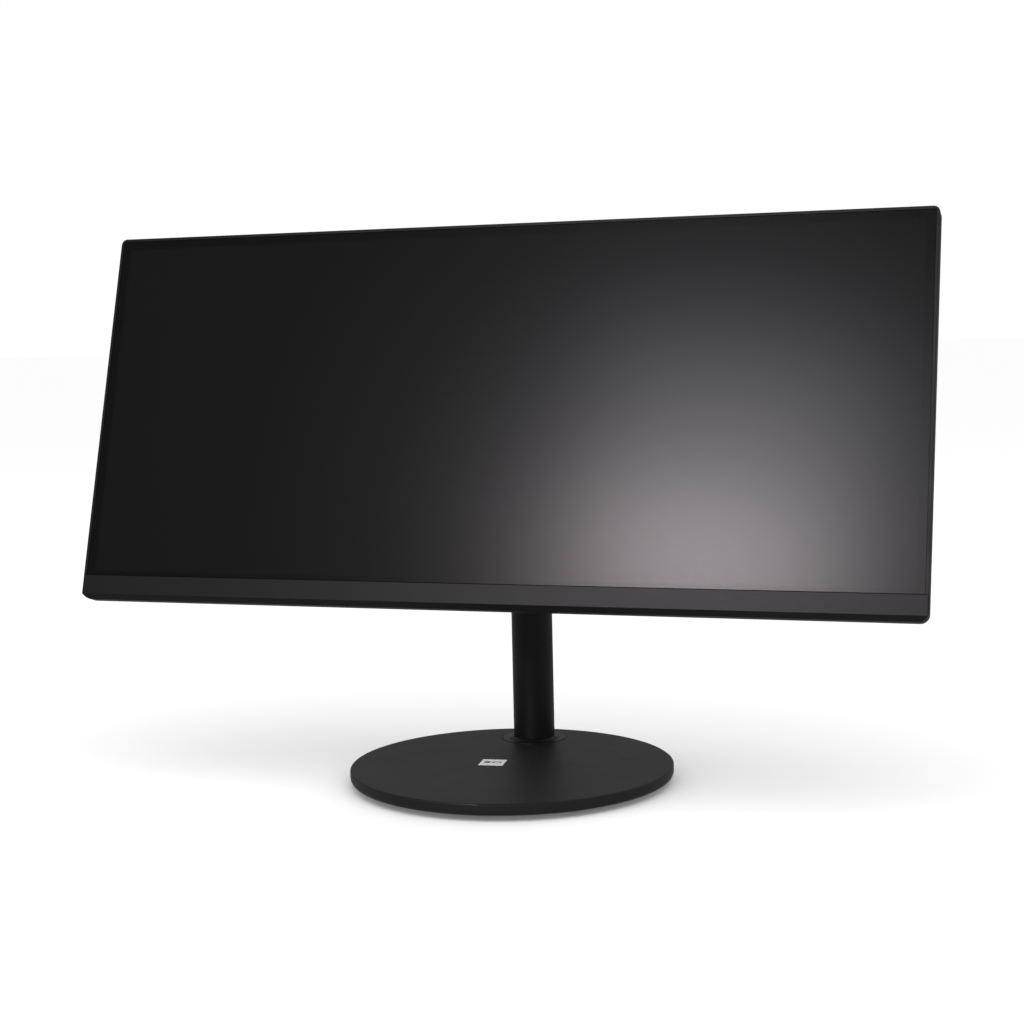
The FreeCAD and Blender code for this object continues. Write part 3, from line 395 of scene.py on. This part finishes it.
def mesh_piece(name, build):
    """A mesh object made by a function that fills a bmesh."""
    shape = bmesh.new()
    build(shape)
    bmesh.ops.recalc_face_normals(shape, faces=shape.faces)
    data = bpy.data.meshes.new(name)
    shape.to_mesh(data)
    shape.free()
    piece = bpy.data.objects.new(name, data)
    bpy.context.scene.collection.objects.link(piece)
    return piece


def add_box(shape, matrix, size):
    bmesh.ops.create_cube(shape, size=1.0, matrix=matrix @ Matrix.Diagonal((*size, 1)))


def ring_profile(shape, matrix, profile, steps, radius_rule=None):
    """Revolve a closed (radius, height) profile about the matrix's Z axis."""
    rings = []
    for step in range(steps):
        angle = 2 * math.pi * step / steps
        ring = []
        for radius, height in profile:
            grown = radius if radius_rule is None else radius_rule(radius, angle)
            spot = Vector((grown * math.cos(angle), grown * math.sin(angle), height))
            ring.append(shape.verts.new(matrix @ spot))
        rings.append(ring)
    count = len(profile)
    for step in range(steps):
        here, there = rings[step], rings[(step + 1) % steps]
        for place in range(count):
            after = (place + 1) % count
            shape.faces.new((here[place], there[place], there[after], here[after]))


# Printed shapes on the label: place across and back, width and depth, in millimetres. They say nothing.
LABEL_SHAPES = [(-4.6, 0.6, 4.6, 5.0), (-1.2, 0.6, 1.2, 2.2), (3.4, 2.6, 6.8, 1.1), (3.4, -1.4, 6.8, 1.1),
                (6.3, 0.6, 1.1, 3.2), (0.5, 0.6, 1.1, 3.2)]


INK_LIFT, INK_THICKNESS = 0.03 * MM, 0.06 * MM


def base_turn():
    """How far the base is turned under the column, in degrees, from where the disc lies."""
    low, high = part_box("base_cover")
    centre = (low + high) / 2
    return math.degrees(math.atan2(centre.x - COLUMN.x, COLUMN.y - centre.y))


def label_print():
    """Plain printed shapes on the label, slightly raised."""
    low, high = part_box("base_label")
    centre = (low + high) / 2
    turn = Matrix.Rotation(math.radians(base_turn()), 4, "Z")
    top = high.z + INK_LIFT

    def build(shape):
        for across, back, wide, deep in LABEL_SHAPES:
            middle = Matrix.Translation(Vector((centre.x, centre.y, top)))
            shift = Matrix.Translation(Vector((across * MM, back * MM, 0)))
            add_box(shape, middle @ turn @ shift, (wide * MM, deep * MM, INK_THICKNESS))
    piece = mesh_piece("label_print", build)
    return dress(piece, "black_plastic", "base")


# Digital sockets: place across, from the pin; contacts stand on both faces of each tongue.
SOCKETS = (-134, -114, -95)
CONTACTS, CONTACT_PITCH = 9, 1.1
CONTACT_SIZE = (0.5 * MM, 3.6 * MM, 0.12 * MM)
CONTACT_DEPTH = -30.5
CONTACT_LEVELS = (-25.76, -24.04)


def socket_contacts():
    """Gold contact strips on the tongues of the digital sockets."""
    def build(shape):
        for middle in SOCKETS:
            for strip in range(CONTACTS):
                across = middle + (strip - (CONTACTS - 1) / 2) * CONTACT_PITCH
                for level in CONTACT_LEVELS:
                    add_box(shape, head_matrix(across, CONTACT_DEPTH, level), CONTACT_SIZE)
    piece = mesh_piece("socket_contacts", build)
    return dress(piece, "brass", "head")


# Thumbscrew: its head is this thick, and the knurl has this many ridges, this deep.
SCREW_HEAD = 2.8 * MM
KNURLS, KNURL_DEPTH = 40, 0.35 * MM


def knurled_thumbscrew():
    """The hand screw with a knurled rim and a dished face, in place of the plain CAD one."""
    low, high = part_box("thumbscrew")
    middle = Matrix.Translation(Vector(((low.x + high.x) / 2, (low.y + high.y) / 2, 0)))
    head_top = low.z + SCREW_HEAD
    dish = low.z + 0.9 * MM
    profile = [(2.95 * MM, high.z), (0.2 * MM, high.z), (0.2 * MM, dish), (7.6 * MM, dish),
               (8.2 * MM, low.z), (9.2 * MM, low.z), (9.95 * MM, low.z + 0.6 * MM),
               (9.95 * MM, head_top - 0.5 * MM), (9.4 * MM, head_top), (2.95 * MM, head_top)]

    def knurl(radius, angle):
        if radius < 9.5 * MM:
            return radius
        return radius - KNURL_DEPTH * (0.5 - 0.5 * math.cos(angle * KNURLS))
    piece = mesh_piece("thumbscrew_knurled", lambda shape: ring_profile(shape, middle, profile, 320, knurl))
    piece.data.shade_smooth()
    dress(piece, "hinge_steel", "thumbscrew")
    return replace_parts(piece, "thumbscrew")


# Wider than one rubber foot, and narrower than the gap to the next.
FOOT_SPAN = 20 * MM


def moulded_feet():
    """Rubber feet with a rounded rim and a shallow ring groove, in place of the plain discs."""
    low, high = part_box("rubber_feet")
    hollow, groove = low.z + 0.5 * MM, low.z + 0.4 * MM
    rim = low.z + 0.3 * (high.z - low.z)
    profile = [(0.3 * MM, high.z), (0.3 * MM, hollow), (3.2 * MM, hollow), (3.7 * MM, low.z),
               (5.0 * MM, low.z), (5.4 * MM, groove), (5.9 * MM, groove), (6.3 * MM, low.z),
               (7.2 * MM, low.z), (7.8 * MM, rim), (8.0 * MM, high.z)]

    def build(shape):
        for centre in feet_centres():
            ring_profile(shape, Matrix.Translation(Vector((centre.x, centre.y, 0))), profile, 64)
    piece = mesh_piece("rubber_feet_moulded", build)
    piece.data.shade_smooth()
    dress(piece, "rubber", "base")
    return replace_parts(piece, "rubber_feet")


def spring_copy(node, name):
    """A free copy of a CAD spring's mesh, with the spring finish, standing in for the hidden CAD spring."""
    piece = bpy.data.objects.new(name, frame["nodes"][node].data.copy())
    bpy.context.scene.collection.objects.link(piece)
    piece.data.materials.clear()
    piece.data.materials.append(MATERIALS["spring_steel"])
    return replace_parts(piece, node)


def lift_strip():
    """The lift spring's strip, copied with its place baked into the mesh; on the monitor its lower end rides the
    carriage and its upper end stays in the column.
    """
    piece = spring_copy("lift_spring", "lift_strip")
    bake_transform(piece)


def latch_coil():
    """The latch's return spring, copied onto the head with a mesh of its own; on the monitor it shortens towards
    its fixed end as the latch is pressed.
    """
    piece = spring_copy("latch_spring", "latch_coil")
    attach(piece, "head")
    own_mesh(piece)


def feet_centres():
    """Centre of each foot: vertices less than one foot's span apart belong together."""
    feet = []
    for vertex in frame["nodes"]["rubber_feet"].data.vertices:
        for foot in feet:
            if (vertex.co - foot[0]).xy.length < FOOT_SPAN:
                foot.append(vertex.co)
                break
        else:
            feet.append([vertex.co])
    return [(Vector(map(min, *foot)) + Vector(map(max, *foot))) / 2 for foot in feet]


# ---------------------------------------------------------------- studio and camera

def stage_material(name, colour):
    material = bpy.data.materials.new(name)
    material.use_nodes = True
    shader = material.node_tree.nodes["Principled BSDF"]
    shader.inputs["Base Color"].default_value = (*colour, 1)
    shader.inputs["Roughness"].default_value = 0.9
    shader.inputs["Specular IOR Level"].default_value = 0.0
    return material


FLOOR_SIZE, FLOOR_WHITE = 80, 0.96

# Strength of the white room, and of the room as glossy surfaces mirror it.
ROOM_LIGHT, ROOM_IN_GLOSS = 1.02, 0.32


def build_floor():
    bpy.ops.mesh.primitive_plane_add(size=FLOOR_SIZE, location=(0, 0, 0))
    floor = bpy.context.object
    floor.name = "floor"
    floor.data.materials.append(stage_material("pale_floor", (FLOOR_WHITE,) * 3))
    floor.visible_glossy = False


def build_world():
    """White room; glossy surfaces mirror a much dimmer one, as with black cards beside a studio table."""
    world = bpy.data.worlds.new("studio")
    bpy.context.scene.world = world
    world.use_nodes = True
    tree = world.node_tree
    background = tree.nodes["Background"]
    background.inputs["Color"].default_value = (1, 1, 1, 1)
    rays = tree.nodes.new("ShaderNodeLightPath")
    dim = tree.nodes.new("ShaderNodeMapRange")
    dim.inputs["To Min"].default_value = ROOM_LIGHT
    dim.inputs["To Max"].default_value = ROOM_IN_GLOSS
    tree.links.new(rays.outputs["Is Glossy Ray"], dim.inputs["Value"])
    tree.links.new(dim.outputs["Result"], background.inputs["Strength"])


def soft_light(name, place, target, size, power, colour=(1, 1, 1)):
    data = bpy.data.lights.new(name, "AREA")
    data.shape = "RECTANGLE"
    data.size, data.size_y = size
    data.energy = power
    data.color = colour
    light = bpy.data.objects.new(name, data)
    light.location = place
    aim = Vector(target) - Vector(place)
    light.rotation_mode = "QUATERNION"
    light.rotation_quaternion = aim.to_track_quat("-Z", "Y")
    bpy.context.scene.collection.objects.link(light)
    return light


# The place on the screen that both softboxes face.
SCREEN_SPOT = (0.171, -0.046, 0.176)


def build_lights():
    """A soft overhead light, and two small softboxes in front that the dark screen mirrors."""
    overhead = soft_light("overhead", place=(0.3, -0.2, 2.2), target=(0, 0, 0.1), size=(2.4, 2.4), power=12)
    overhead.visible_glossy = False
    low_glow = soft_light("softbox_low", place=(-0.185, -1.53, 0.90), target=SCREEN_SPOT,
                          size=(0.38, 0.24), power=15.5, colour=(1.0, 0.92, 0.95))
    high_glow = soft_light("softbox_high", place=(-0.125, -1.46, 1.08), target=SCREEN_SPOT,
                           size=(0.44, 0.36), power=6.5, colour=(0.94, 0.93, 1.0))
    low_glow.visible_diffuse = False
    high_glow.visible_diffuse = False


# Camera: metres, degrees and millimetres.
CAMERA_PLACE = (0.476, -1.3766, 0.3596)
CAMERA_YAW, CAMERA_PITCH, CAMERA_ROLL = -18.48, 5.61, -1.29
CAMERA_LENS, CAMERA_SENSOR = 64.41, 36


def build_camera():
    data = bpy.data.cameras.new("camera")
    data.lens = CAMERA_LENS
    data.sensor_width = CAMERA_SENSOR
    camera = bpy.data.objects.new("camera", data)
    yaw, pitch, roll = (math.radians(angle) for angle in (CAMERA_YAW, CAMERA_PITCH, CAMERA_ROLL))
    forward = Vector((math.sin(yaw) * math.cos(pitch), math.cos(yaw) * math.cos(pitch), -math.sin(pitch)))
    level = Vector((math.cos(yaw), -math.sin(yaw), 0))
    upright = level.cross(forward)
    right = level * math.cos(roll) + upright * math.sin(roll)
    up = upright * math.cos(roll) - level * math.sin(roll)
    turn = Matrix((right, up, -forward)).transposed().to_4x4()
    camera.matrix_world = Matrix.Translation(CAMERA_PLACE) @ turn
    bpy.context.scene.collection.objects.link(camera)
    bpy.context.scene.camera = camera


dress_nodes()
label_print()
socket_contacts()
knurled_thumbscrew()
moulded_feet()
lift_strip()
latch_coil()
build_floor()
build_world()
build_lights()
build_camera()
bpy.context.scene.view_settings.view_transform = "Standard"
